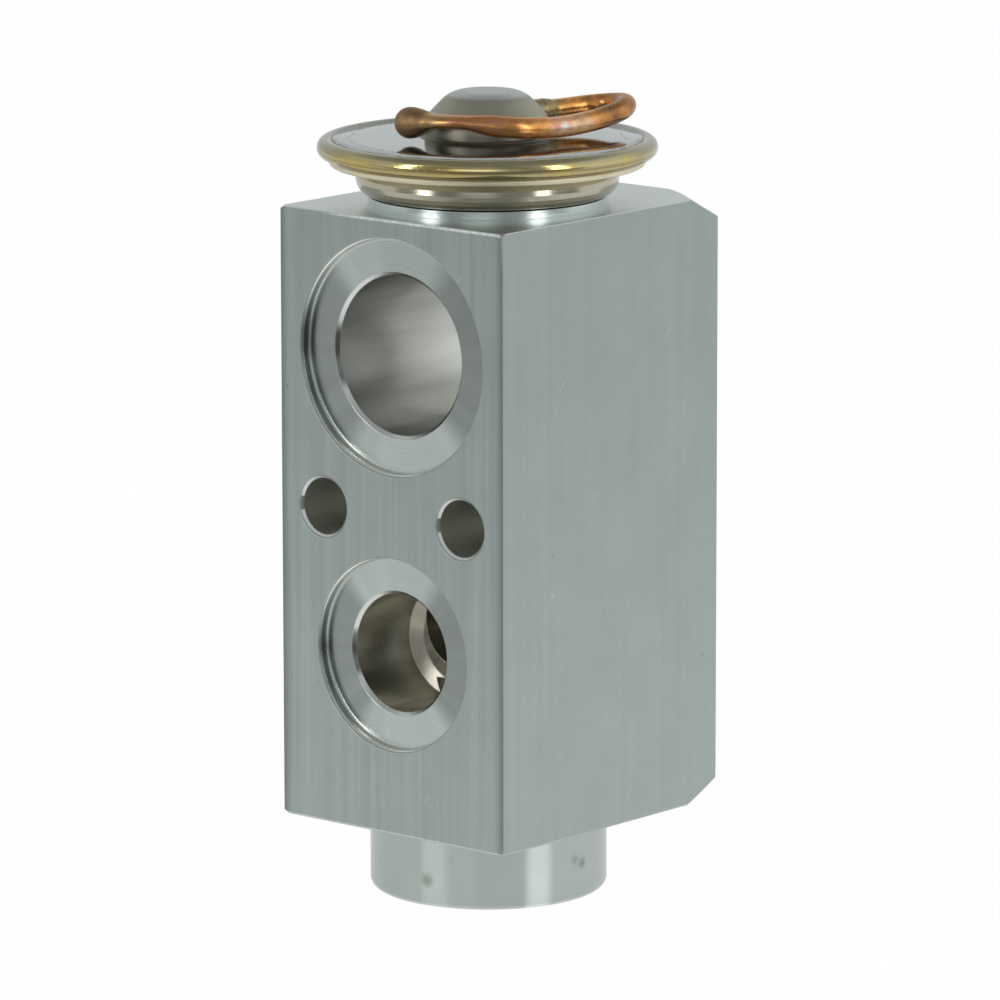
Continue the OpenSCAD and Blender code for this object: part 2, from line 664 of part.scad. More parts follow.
// Flatness of the pinched stretch behind the ball, from 1 down to 0 for round
function pinch(t) = let (k = min(max(4 - t, 0), 1)) k * k * (3 - 2 * k);

// Radius at distance s from the ball's centre, where the tube's own is r
function swollen(s, r) =
    let (turn = 0.75 * tube_ball_r, size = sqrt(tube_ball_r * tube_ball_r - min(s, turn) * min(s, turn)))
    s < turn ? size : r + (size - r) * exp(-(s - turn) / neck_len);

module charge_tube() {
    n = len(tube_points) - 1;
    steps = 5 * n;
    body = [for (i = [1:steps])
        let (t = n * i / steps, p = along(tube_points, t), q = along(tube_points, min(t + 0.02, n)),
             o = along(tube_points, t - 0.02), d = q - o, away = norm(p - tube_points[0]))
        section(p + [0, 0, lid_z], atan2(d[1], d[0]), swollen(away, tube_r + pinch(t) * pinch_w),
                swollen(away, tube_r + pinch(t) * (pinch_h / 2 - tube_r)), tube_sides)];
    first = tube_points[0] + [0, 0, lid_z];
    d0 = along(tube_points, 0.1) - tube_points[0];
    heading = atan2(d0[1], d0[0]);
    cap = [for (i = [1:5]) let (a = -90 + 90 * i / 6)
        section(first + tube_ball_r * sin(a) * [cos(heading), sin(heading), 0], heading,
                tube_ball_r * cos(a), tube_ball_r * cos(a), tube_sides)];
    nose = [section(first - tube_ball_r * [cos(heading), sin(heading), 0], heading, 0.2, 0.2, tube_sides)];
    color([0.72, 0.42, 0.22]) rotate([0, 0, tube_turn]) skin(concat(nose, cap, body), tube_sides);
}

valve_body();
adjusting_screw();
adjusting_screw_seal();
superheat_spring();
ball_carrier();
damping_spring();
valve_ball();
actuating_pin();
rod_seal();
rod_seal_retainer();
sensing_rod();
diaphragm_stop();
head_seal();
lower_lid();
diaphragm();
rim_weld_bead();
upper_lid();
tube_ferrule();
tube_braze();
charge_tube();
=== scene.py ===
import json
import math
from types import SimpleNamespace

import bmesh
import bpy
from bpy.props import FloatProperty, FloatVectorProperty, IntProperty, PointerProperty
from mathutils import Matrix, Vector


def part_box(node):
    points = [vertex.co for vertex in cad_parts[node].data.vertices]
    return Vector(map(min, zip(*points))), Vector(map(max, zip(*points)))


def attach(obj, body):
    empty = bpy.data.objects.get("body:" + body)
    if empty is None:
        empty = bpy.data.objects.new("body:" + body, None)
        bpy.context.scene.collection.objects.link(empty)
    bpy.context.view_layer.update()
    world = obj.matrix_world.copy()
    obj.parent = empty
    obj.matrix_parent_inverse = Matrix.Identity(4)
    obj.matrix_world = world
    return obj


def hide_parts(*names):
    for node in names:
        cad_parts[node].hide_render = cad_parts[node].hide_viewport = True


bl_info = {
    "name": "Block Expansion Valve",
    "version": (1, 0, 0),
    "blender": (4, 5, 0),
    "location": "View3D > Sidebar > Valve",
    "description": "Dresses a block expansion valve and lights it on a studio table",
    "category": "Object",
}

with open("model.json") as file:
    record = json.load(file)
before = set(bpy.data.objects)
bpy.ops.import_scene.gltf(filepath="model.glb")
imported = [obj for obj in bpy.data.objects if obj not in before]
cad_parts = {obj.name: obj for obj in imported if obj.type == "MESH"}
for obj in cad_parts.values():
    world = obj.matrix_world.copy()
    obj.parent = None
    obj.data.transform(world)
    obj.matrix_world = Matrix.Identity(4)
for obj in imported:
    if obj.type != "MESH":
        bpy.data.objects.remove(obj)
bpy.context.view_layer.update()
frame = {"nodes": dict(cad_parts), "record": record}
NODES = frame["nodes"]

# Sizes are in millimetres, and object coordinates are turned into them
MM = 0.001


def mount_height(name):
    return next(mount["pos_m"][2] for mount in frame["record"]["mounts"] if mount["name"] == name) / MM


# The block, between its foot and its neck
BODY_LOW, BODY_HIGH = ([value / MM for value in corner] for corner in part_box("valve_body"))
SIDE_X, FRONT_Y, REAR_Y = BODY_HIGH[0], BODY_LOW[1], BODY_HIGH[1]
BLOCK_Z0, BLOCK_Z1 = 8.8, 78.8
FOOT_R = 13.4

# Its ports: the recess, the chamfered mouth behind it and the cone at the outlet's end
SUCTION_Z = mount_height("suction_bore_rear")
OUTLET_Z = mount_height("outlet_bore_front")
INLET_Z = mount_height("inlet_bore_rear")
RECESS_CLEAR = 13.6
RECESS_DEPTH = 1.3
MOUTH_DEPTH = RECESS_DEPTH + 0.42
CONE_DEPTH = 10.7
LOWER_PORTS_MEET_Y = 2.5

# Its bolt holes, and how far above and below them nothing else is cut
BOLT_Z = mount_height("clamp_screws")
BOLT_PITCH = 20.4
BOLT_RIM = 0.4
BOLT_ZONE = 3.8

# The power head
BEAD_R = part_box("rim_weld_bead")[1][0] / MM
BEAD_Z = (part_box("rim_weld_bead")[0][2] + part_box("rim_weld_bead")[1][2]) / 2 / MM
LID_RIM_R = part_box("upper_lid")[1][0] / MM
LID_Z = 86.34
DOME_R = 7.7
DOME_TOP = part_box("upper_lid")[1][2] / MM
BOWL_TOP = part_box("lower_lid")[1][2] / MM
FLANGE_BOTTOM = BOWL_TOP - 1.4

# Directions round the valve's axis, in degrees from the right-hand side: the bead's golden side and painted glint,
# and the foot's painted highlights and painted shade
BEAD_GOLD = -49.278
BEAD_PAINTED_GLINT = -51.278
FOOT_PAINTED_SHINE = (-76.278, -24.278)
FOOT_PAINTED_DUSK = -43.278

# Where the recesses' painted shade lies, in degrees seen from the front
PORT_PAINTED_SHADE = 186.0

# Dirt on the foot: direction in radians, height and size
SMUDGES = (
    (math.radians(-80.3), 3.2, 0.7),
    (math.radians(2.6), 4.4, 0.6),
    (math.radians(-3.0), 5.0, 0.4),
    (math.radians(130.0), 3.5, 0.8),
)

# The charge tube's route in its own frame: across, rearwards and up from the lid
TUBE_TURN = 40.7
TUBE_ROUTE = (
    (-8.6, -4.9, 2.2),
    (-7.0, -6.2, 2.45),
    (-4.9, -7.8, 2.7),
    (-2.2, -8.8, 2.75),
    (1.2, -9.1, 2.35),
    (4.5, -8.2, 2.05),
    (8.4, -5.0, 1.75),
    (12.4, -1.4, 2.1),
    (15.0, 1.5, 2.7),
    (15.5, 4.1, 3.0),
    (13.9, 6.4, 2.75),
    (11.2, 6.9, 2.45),
)

# Its straight end in the ferrule
STUB_ANGLE = 33.5
STUB_UP = 2.25
STUB_RADII = (9.2, 8.6, 5.3)

# Its sections: the ball's, in degrees from its middle, and how many lie between two points of the route
BALL_ANGLES = range(-86, 0, 8)
STATIONS_PER_POINT = 14

# Its pinched stretch: how much wider it is, the route point where it ends and how softly, and the ball's neck
PINCH_SPREAD = 0.25
PINCH_END = 4.0
PINCH_FADE = 1.2
NECK_LENGTH = 2.6

# Its tints: where each starts and ends, as a share of the length from the sealed end
OLIVE_STRETCH = (0.07, 0.16)
PURPLE_STRETCH = (0.14, 0.30)
STRAW_STRETCH = (0.40, 0.53)
PINK_STRETCHES = ((0.405, 0.43), (0.452, 0.462))
BLUE_STRETCH = (0.433, 0.45)
BROWN_STRETCH = (0.56, 0.78)
BRIGHT_STRETCH = (0.80, 0.90)


# Looks that a user may change


def colour(name, description, default):
    return FloatVectorProperty(
        name=name,
        description=description,
        subtype="COLOR",
        size=3,
        min=0.0,
        max=1.0,
        default=default,
    )


def share(name, description, default):
    return FloatProperty(
        name=name,
        description=description,
        subtype="FACTOR",
        min=0.0,
        max=1.0,
        default=default,
    )


def millimetres(name, description, default, low, high):
    return FloatProperty(name=name, description=description, default=default, min=low, max=high)


class BlockLooks(bpy.types.PropertyGroup):
    """The machined block with its ports"""

    milled: colour("Milled metal", "Colour of the milled faces", (0.37, 0.42, 0.405))
    turned: colour("Turned metal", "Colour of the turned recesses and bosses", (0.485, 0.54, 0.52))
    bored: colour("Bored metal", "Colour inside the bores", (0.655, 0.66, 0.63))
    lower_bores: colour("Lower bores", "Colour inside the two lower bores", (0.86, 0.86, 0.77))
    cone: colour("Cone", "Colour of the cone at the outlet's end", (0.50, 0.47, 0.40))
    # The mouths, recess walls and bolt rims below are paler than the turned metal: painted highlights
    mouths: colour("Mouths", "Colour of the bores' chamfered mouths", (0.85, 0.86, 0.84))
    walls: colour("Recess walls", "Colour of the walls round the recesses", (0.95, 0.93, 0.88))
    bolt_holes: colour("Bolt holes", "Colour inside the bolt holes", (0.79, 0.80, 0.74))
    bolt_rims: colour("Bolt rims", "Colour of the bolt holes' chamfers", (0.85, 0.87, 0.86))
    # The top face is paler and bluer than the milled sides: painted light
    top: colour("Top", "Colour of the top face", (0.70, 0.745, 0.76))
    # The edge colour paints highlights on the edges and the burr
    edge_highlights: colour("Edges", "Colour of the broken edges and the burr", (0.84, 0.87, 0.86))
    dirt: colour("Dirt", "Colour of the smudges on the foot", (0.20, 0.19, 0.13))
    milled_roughness: share("Milled roughness", "Roughness of the milled faces", 0.40)
    turned_roughness: share("Turned roughness", "Roughness of the turned faces", 0.20)
    streaks: share("Streaks", "Strength of the lengthwise tool streaks", 0.5)
    marks: share("Marks", "Strength of the nicks and scratches", 0.5)


class HeadLooks(bpy.types.PropertyGroup):
    """The power head"""

    lid: colour("Lid", "Colour of the bright upper lid", (0.48, 0.515, 0.53))
    dome: colour("Dome", "Colour of the satin dome", (0.37, 0.36, 0.29))
    cap: colour("Dome's cap", "Colour of the dome's flat top", (0.58, 0.61, 0.60))
    bead: colour("Weld bead", "Colour of the weld bead's golden side", (0.51, 0.405, 0.155))
    # The silvery ends are partly a painted reflection
    pale: colour("Pale bead", "Colour of the weld bead's silvery ends", (0.335, 0.345, 0.285))
    # The flange's pale cream is partly a painted reflection
    flange: colour("Flange", "Colour of the flange under the bead", (0.80, 0.74, 0.57))
    bowl: colour("Bowl", "Colour of the bowl", (0.50, 0.47, 0.37))
    heat: colour("Heat marks", "Colour of the heat marks on the lid", (0.20, 0.15, 0.10))


class TubeLooks(bpy.types.PropertyGroup):
    """The charge tube"""

    copper: colour("Copper", "Colour of the bare copper", (0.76, 0.34, 0.11))
    brown: colour("Brown", "Colour of the loop", (0.27, 0.135, 0.065))
    purple: colour("Purple tint", "Colour of the purple heat tint", (0.42, 0.19, 0.17))
    bright: colour("Bright copper", "Colour of the copper inside the loop", (0.85, 0.42, 0.12))
    straw: colour("Straw tint", "Colour of the pale heat tint", (0.80, 0.70, 0.52))
    pink: colour("Pink tint", "Colour of the pink heat tint", (0.74, 0.24, 0.36))
    # The blue tint is partly a painted sheen, laid where the tube's highlight falls
    blue: colour("Blue tint", "Colour of the blue heat tint", (0.62, 0.76, 0.80))
    soot: colour("Soot", "Colour of the darkened end", (0.25, 0.17, 0.095))
    olive: colour("Olive tint", "Colour of the tube by its braze", (0.40, 0.33, 0.15))
    braze: colour("Braze", "Colour of the braze fillet", (0.36, 0.29, 0.14))
    ferrule: colour("Ferrule", "Colour of the heat-tinted ferrule", (0.36, 0.29, 0.17))
    radius: millimetres("Radius", "Outer radius of the tube, in millimetres", 1.2, 1.0, 1.4)
    ball: millimetres("Ball radius", "Radius of the sealed end, in millimetres", 1.78, 1.5, 2.0)
    pinch: millimetres("Pinched height", "Height of the pinched stretch, in millimetres", 1.6, 1.2, 1.8)
    sides: IntProperty(name="Sides", description="Sides of the tube's section", default=32, min=12, max=64)


class InnerLooks(bpy.types.PropertyGroup):
    """The pieces inside the block and the head"""

    rod: colour("Sensing rod", "Colour of the turned aluminium rod", (0.56, 0.58, 0.58))
    pin: colour("Pin", "Colour of the ground steel pin", (0.62, 0.63, 0.64))
    ball: colour("Ball", "Colour of the polished ball", (0.70, 0.71, 0.72))
    steel: colour("Steel", "Colour of the springs, the retainer and the diaphragm", (0.48, 0.49, 0.50))
    brass: colour("Brass", "Colour of the screw, the carrier and the stop", (0.58, 0.45, 0.18))
    rubber: colour("Rubber", "Colour of the seals", (0.022, 0.022, 0.024))


class StageLooks(bpy.types.PropertyGroup):
    """The studio"""

    floor: colour("Floor", "Colour of the studio table", (0.90, 0.90, 0.90))
    dim: colour("Dim side", "Colour of the table's near side", (0.42, 0.42, 0.42))
    strips: FloatProperty(
        name="Strip lights",
        description="Power of each strip light",
        subtype="POWER",
        default=1.5,
    )


# Node trees, whose numbers take part in Python sums


class Level:
    """A socket whose value varies."""

    def __init__(self, nodes, socket):
        self.nodes = nodes
        self.socket = socket

    def _sum(self, operation, *terms):
        return self.nodes.add("ShaderNodeMath", {"operation": operation}, dict(enumerate(terms)))

    def __add__(self, other):
        return self._sum("ADD", self, other)

    def __sub__(self, other):
        return self._sum("SUBTRACT", self, other)

    def __rsub__(self, other):
        return self._sum("SUBTRACT", other, self)

    def __mul__(self, other):
        return self._sum("MULTIPLY", self, other)

    def __truediv__(self, other):
        return self._sum("DIVIDE", self, other)

    def __pow__(self, other):
        return self._sum("POWER", self, other)

    def __abs__(self):
        return self._sum("ABSOLUTE", self)

    __radd__ = __add__
    __rmul__ = __mul__

    def angle(self, across):
        """Angle of a point that lies this far up and so far across."""
        return self._sum("ARCTAN2", self, across)

    def most(self, other):
        """The higher of the two."""
        return self._sum("MAXIMUM", self, other)

    def sway(self, strength):
        """Turns a noise of 0 to 1 into a change either way."""
        return (self - 0.5) * strength

    def rise(self, low, high):
        """0 at low, 1 at high and smooth between, also where low is the higher."""
        if low > high:
            return 1.0 - self.rise(high, low)
        settings = {"interpolation_type": "SMOOTHSTEP"}
        inputs = {"Value": self, "From Min": low, "From Max": high}
        return self.nodes.add("ShaderNodeMapRange", settings, inputs)

    def band(self, low, high, soft):
        """1 between low and high, 0 outside."""
        return self.rise(low - soft, low + soft) * self.rise(high + soft, high - soft)


class Nodes:
    """A node tree in the making."""

    # Sockets of the Mix node that hold its amount, its two colours and its result
    MIX_AMOUNT, MIX_FIRST, MIX_SECOND, MIX_RESULT = 0, 6, 7, 2

    def __init__(self, tree):
        self.tree = tree
        tree.nodes.clear()

    def add(self, kind, settings=None, inputs=None, out=0):
        """Makes one node: its settings first, then what its sockets get."""
        node = self.tree.nodes.new(kind)
        for key, value in (settings or {}).items():
            setattr(node, key, value)
        for key, value in (inputs or {}).items():
            if isinstance(value, Level):
                self.tree.links.new(value.socket, node.inputs[key])
            else:
                node.inputs[key].default_value = value
        return Level(self, node.outputs[out]) if node.outputs else None

    def vector(self, operation, first, second, out=0):
        return self.add("ShaderNodeVectorMath", {"operation": operation}, {0: first, 1: second}, out)

    def scaled(self, vector, *by):
        return self.vector("MULTIPLY", vector, by)

    def dot(self, first, second):
        return self.vector("DOT_PRODUCT", first, second, "Value")

    def parts(self, vector):
        node = self.add("ShaderNodeSeparateXYZ", None, {0: vector}).socket.node
        return [Level(self, output) for output in node.outputs]

    def point(self, x, y=0.0, z=0.0):
        return self.add("ShaderNodeCombineXYZ", None, {0: x, 1: y, 2: z})

    def noise(self, vector, scale=1.0, detail=2.0, roughness=0.5):
        inputs = {"Vector": vector, "Scale": scale, "Detail": detail, "Roughness": roughness}
        return self.add("ShaderNodeTexNoise", None, inputs)

    def mix(self, first, second, amount, blend="MIX"):
        first, second = (rgb if isinstance(rgb, Level) else (*rgb, 1.0) for rgb in (first, second))
        settings = {"data_type": "RGBA", "blend_type": blend}
        inputs = {self.MIX_AMOUNT: amount, self.MIX_FIRST: first, self.MIX_SECOND: second}
        return self.add("ShaderNodeMix", settings, inputs, self.MIX_RESULT)

    def layered(self, base, *layers):
        """Lays one colour after another over the base, each by its own amount."""
        for rgb, amount in layers:
            base = self.mix(base, rgb, amount)
        return base

    def tinted(self, rgb, amount):
        """Multiplies a colour by a number that varies."""
        return self.mix(rgb, self.point(amount, amount, amount), 1.0, "MULTIPLY")


class Finish(Nodes):
    """A material in the making."""

    SOCKETS = {"base": "Base Color", "metallic": "Metallic", "roughness": "Roughness", "normal": "Normal"}

    def __init__(self, name):
        self.material = bpy.data.materials.new(name)
        self.material.use_nodes = True
        super().__init__(self.material.node_tree)
        self.place = self.scaled(self.add("ShaderNodeTexCoord", out="Object"), 1 / MM, 1 / MM, 1 / MM)
        self.x, self.y, self.z = self.parts(self.place)
        self.radius = (self.x * self.x + self.y * self.y) ** 0.5

    def rings(self, radius, height, per_mm):
        """Fine tool lines round an axis."""
        return self.noise(self.point(radius * per_mm, height * per_mm), roughness=0.7)

    def facing(self, across, up, radius, degrees):
        """Cosine between a point's direction from an axis and the direction at this angle."""
        turn = math.radians(degrees)
        return (across * math.cos(turn) + up * math.sin(turn)) / radius

    def towards(self, degrees):
        """The same round the valve's own axis."""
        return self.facing(self.x, self.y, self.radius, degrees)

    def bump(self, height, depth_mm, normal=None):
        inputs = {"Height": height, "Distance": depth_mm * MM}
        if normal is not None:
            inputs["Normal"] = normal
        return self.add("ShaderNodeBump", None, inputs)

    def edges(self, radius_mm):
        """A normal that rounds the edges, and 1 on them."""
        rounded = self.add("ShaderNodeBevel", {"samples": 4}, {"Radius": radius_mm * MM})
        flat = self.add("ShaderNodeNewGeometry", out="Normal")
        return rounded, (1.0 - self.dot(rounded, flat)).rise(0.01, 0.12)

    def close(self, **sockets):
        """Ends in a Principled BSDF with these sockets."""
        inputs = {self.SOCKETS[key]: value for key, value in sockets.items()}
        shader = self.add("ShaderNodeBsdfPrincipled", None, inputs)
        self.add("ShaderNodeOutputMaterial", None, {"Surface": shader})
        return self.material


def dress(node, material):
    """Gives a CAD node its finish."""
    for slot in NODES[node].material_slots:
        slot.material = material


# The block's finish


def block_zones(f):
    """Where the block is milled, turned or bored, as masks, and where a point lies in its port."""
    x, y, z = f.x, f.y, f.z
    at = SimpleNamespace()
    at.depth = (REAR_Y - FRONT_Y) / 2 - abs(y - (REAR_Y + FRONT_Y) / 2)
    at.in_block = z.band(BLOCK_Z0 + 0.1, BLOCK_Z1 - 0.1, 0.05)
    ends = at.depth.rise(0.2, 0.1) * at.in_block
    at.front = ends * y.rise(0.0, -1.0)

    # Each lower port has its own centre, and the upper ones share theirs
    lower_z = INLET_Z + (OUTLET_Z - INLET_Z) * y.rise(LOWER_PORTS_MEET_Y + 0.5, LOWER_PORTS_MEET_Y - 0.5)
    at.upper = z.rise(BOLT_Z - 0.1, BOLT_Z + 0.1)
    at.up = z - lower_z - (SUCTION_Z - lower_z) * at.upper
    at.port = (x * x + at.up * at.up) ** 0.5

    # Outside is what lies at the ends, at the sides, or beyond the recesses and off the bolt holes
    bolt_zone = z.band(BOLT_Z - BOLT_ZONE, BOLT_Z + BOLT_ZONE, 0.02)
    corners = at.port.rise(RECESS_CLEAR, RECESS_CLEAR + 0.1) * (1.0 - bolt_zone)
    sides = abs(x).rise(SIDE_X - 0.2, SIDE_X - 0.1)
    at.milled = ends.most(sides.most(corners) * at.in_block)
    inside = at.in_block * (1.0 - at.milled)
    at.bolt = bolt_zone * inside
    at.turned = inside * (1.0 - at.bolt)

    # From the front inwards: the recess's wall and floor, the bore's mouth, the bore and its cone
    at.wall = at.depth.rise(RECESS_DEPTH - 0.08, RECESS_DEPTH - 0.2) * at.turned
    at.floor = at.depth.band(RECESS_DEPTH - 0.04, RECESS_DEPTH + 0.04, 0.02) * at.turned
    at.mouth = at.depth.band(RECESS_DEPTH + 0.05, MOUTH_DEPTH, 0.01) * at.turned
    at.deep = at.depth.rise(MOUTH_DEPTH, MOUTH_DEPTH + 0.02) * at.turned
    at.lower = at.deep * (1.0 - at.upper)
    at.cone = at.lower * at.depth.rise(CONE_DEPTH - 0.05, CONE_DEPTH + 0.02)
    at.narrow = at.lower * at.depth.rise(CONE_DEPTH + 0.6, CONE_DEPTH + 0.75)

    # Which way a point lies from its port's axis, which places the painted shade and the painted sheen
    at.dark_side = f.facing(x, at.up, at.port, PORT_PAINTED_SHADE)
    at.bow = abs(f.facing(x, at.up, at.port, PORT_PAINTED_SHADE - 180.0)).rise(0.52, 0.78)
    at.around = f.noise(f.point(x / at.port * 2.2, at.up / at.port * 2.2, y * 0.03), 1.0, 3.0, 0.6)
    return at


def block_marks(f, at):
    """What the cutters, the lathe and handling left on the block, each from 0 to 1."""
    x, y, z = f.x, f.y, f.z
    cut = SimpleNamespace()
    cut.fine = f.noise(f.scaled(f.place, 7.0, 7.0, 0.10), 1.0, 3.0, 0.7)
    cut.broad = f.noise(f.scaled(f.place, 0.9, 0.9, 0.02), 1.0, 2.0, 0.5)
    cut.cloud = f.noise(f.place, 0.12, 3.0, 0.6)
    cut.grain = f.noise(f.place, 5.0, 2.0, 0.7)
    slant = (x + y) * 0.8 + z * 0.6
    cut.dash = f.noise(f.point(slant * 0.3, (z - x - y) * 3.0), 1.0, 2.0, 0.5).rise(0.70, 0.75)
    cut.nick = f.noise(f.scaled(f.place, 1.6, 1.6, 0.9), 1.0, 1.0).rise(0.215, 0.18)
    cut.turned = f.rings(at.port, y, 7.0)
    cut.bossed = f.rings(f.radius, z, 13.0)
    return cut


def block_shade(f, at, cut, looks):
    """How much lighter or darker than its colour each place on the block is: tool marks and random tone, with
    painted sheen and painted shade in the ports and bolt holes.
    """
    streak = (cut.fine.sway(0.18) + cut.broad.sway(0.36)) * looks.streaks * 2.0
    shade = 1.0 + streak * at.milled * (0.35 + 0.65 * at.front)
    shade = shade + cut.cloud.sway(0.16) + cut.grain.sway(0.10) * at.milled
    shade = shade + (cut.dash * 0.6 - cut.nick * 0.5) * at.milled * looks.marks
    shade = shade + cut.turned.sway(0.16) * at.turned * (1.0 - at.deep)

    # Painted light in the ports: a painted sheen on the recess floors, darker at their left and right, painted
    # shade on one side of the walls and mouths, painted shade on the front face, and mottled painted shade further
    # in, darker towards the top and in the narrow bore
    shade = shade * (1.0 - at.floor * (at.bow * 0.44 - 0.04 + at.around.sway(0.3)))
    shade = shade * (1.0 - at.wall * at.dark_side.rise(0.85, 0.99) * 0.4 - at.front * 0.05)
    shade = shade * (1.0 - at.mouth * at.dark_side.rise(0.90, 0.97) * 0.75)
    painted_dusk = at.around.sway(0.8) - (at.up / at.port).rise(0.5, 0.95) * 0.2
    shade = shade * (1.0 + at.deep * painted_dusk - at.narrow * 0.6)

    # Painted shade: a dark patch in the left half of each bolt hole's chamfer
    bolt_x = f.x - BOLT_PITCH * (f.x.rise(-1.0, 1.0) - 0.5)
    painted_gap_shade = abs(f.z - BOLT_Z).rise(0.9, 0.7) * bolt_x.rise(0.0, -1.0)
    return shade * (1.0 - at.bolt * at.depth.rise(BOLT_RIM + 0.1, BOLT_RIM) * painted_gap_shade * 0.7)


def painted_foot_light(f, cloud):
    """The turned foot, with painted light: painted highlights down it, a painted dusky stripe between them, a
    painted pale lower rim, and slightly darker all over.
    """
    painted_shine = f.towards(FOOT_PAINTED_SHINE[0]).rise(0.988, 1.0) * 0.5
    painted_shine = painted_shine.most(f.towards(FOOT_PAINTED_SHINE[1]).rise(0.989, 1.0))
    painted_dusk = f.towards(FOOT_PAINTED_DUSK).rise(0.96, 0.99)
    bands = (painted_shine * 0.42 - painted_dusk * 0.08) * (0.7 + cloud * 0.6)
    foot = f.z.rise(BLOCK_Z0, BLOCK_Z0 - 0.1)
    return foot * (bands + f.z.rise(0.6, 0.4) * 0.2 - 0.06)


def painted_edge_light(f, at, edge):
    """How much painted shade darkens the block's upright corners, and how bright the painted highlights on its
    other edges and its burr are.
    """
    x, z = f.x, f.z
    corner = abs(x).rise(SIDE_X - 0.5, SIDE_X - 0.4) * z.band(BLOCK_Z0 + 0.6, BLOCK_Z1 - 0.6, 0.1)
    ragged = f.noise(f.place, 2.6, 3.0, 0.6).rise(0.32, 0.6)
    burr = at.front * z.rise(BLOCK_Z1 - 0.42, BLOCK_Z1 - 0.25) * x.rise(-11.0, -5.0) * (0.35 + ragged * 0.65)
    lip_highlight = at.front * z.rise(BLOCK_Z0 + 0.25, BLOCK_Z0 + 0.12) * (0.3 + ragged * 0.5)
    tip_highlight = corner * edge * z.rise(BLOCK_Z1 - 5.0, BLOCK_Z1 - 1.0)
    dark = (abs(x).rise(SIDE_X - 1.3, SIDE_X) * at.front * 0.36).most(edge * corner * 0.42)
    bright = (edge * (1.0 - corner) * (0.3 + ragged * 0.3)).most(burr).most(lip_highlight).most(tip_highlight)
    return dark, bright


def block_finish(looks):
    """Aluminium: milled outside, turned in the recesses and on the bosses, and bored inside."""
    f = Finish("machined_aluminium")
    z = f.z
    at = block_zones(f)
    cut = block_marks(f, at)
    base = f.layered(
        f.mix(looks.turned, looks.milled, at.milled),
        (looks.bored, at.deep),
        (looks.lower_bores, at.lower * (1.0 - at.cone)),
        (looks.cone, at.cone),
        # Painted highlights: pale mouths, pale walls away from their painted shade, and pale bolt rims
        (looks.mouths, at.mouth * 0.8),
        (looks.walls, at.wall * at.dark_side.rise(0.99, 0.6) * 0.95),
        (looks.bolt_holes, at.bolt * at.depth.rise(BOLT_RIM, BOLT_RIM + 0.1)),
        (looks.bolt_rims, at.bolt * at.depth.rise(BOLT_RIM + 0.05, BOLT_RIM)),
    )
    for turn, height, size in SMUDGES:
        middle = (FOOT_R * math.cos(turn), FOOT_R * math.sin(turn), height)
        away = f.vector("DISTANCE", f.place, middle, "Value") + cut.grain * 1.2 + cut.cloud * 1.5
        base = f.mix(base, looks.dirt, away.rise(size + 1.9, size + 0.9) * 0.6)

    # Painted light: the top face paler and bluer, the neck above it lighter, the milled sides lighter towards the
    # bottom, and the foot's painted highlights and painted shade
    flat_top = z.rise(BLOCK_Z1 - 0.1, BLOCK_Z1) * z.rise(BLOCK_Z1 + 0.1, BLOCK_Z1)
    neck = z.rise(BLOCK_Z1 + 0.1, BLOCK_Z1 + 0.2)
    low = z.rise(BLOCK_Z1, BLOCK_Z0) * at.milled
    base = f.mix(base, looks.top, flat_top * 0.9)
    shade = block_shade(f, at, cut, looks) * (1.0 + painted_foot_light(f, cut.cloud))
    base = f.tinted(base, shade * (1.0 + neck * 0.3 + low * 0.08))

    # Painted shade along the upright corners, and painted highlights on the other edges and the burr
    rounded, edge = f.edges(0.15)
    dark, bright = painted_edge_light(f, at, edge)
    base = f.mix(f.tinted(base, 1.0 - dark), looks.edge_highlights, bright)

    rough = looks.turned_roughness + (looks.milled_roughness - looks.turned_roughness) * at.milled
    rough = rough + cut.fine.sway(0.12) * at.milled + at.deep * 0.12 + at.bolt * 0.25
    rough = rough + bright * 0.25 + flat_top * 0.1
    lines = cut.fine * at.milled * 0.6 + cut.turned * at.turned * (1.2 - at.deep)
    lines = lines + cut.bossed * (1.0 - at.in_block) * 0.5 + (cut.dash - cut.nick) * at.milled
    return f.close(base=base, metallic=1.0, roughness=rough, normal=f.bump(lines, 0.012, rounded))


# The power head's finishes


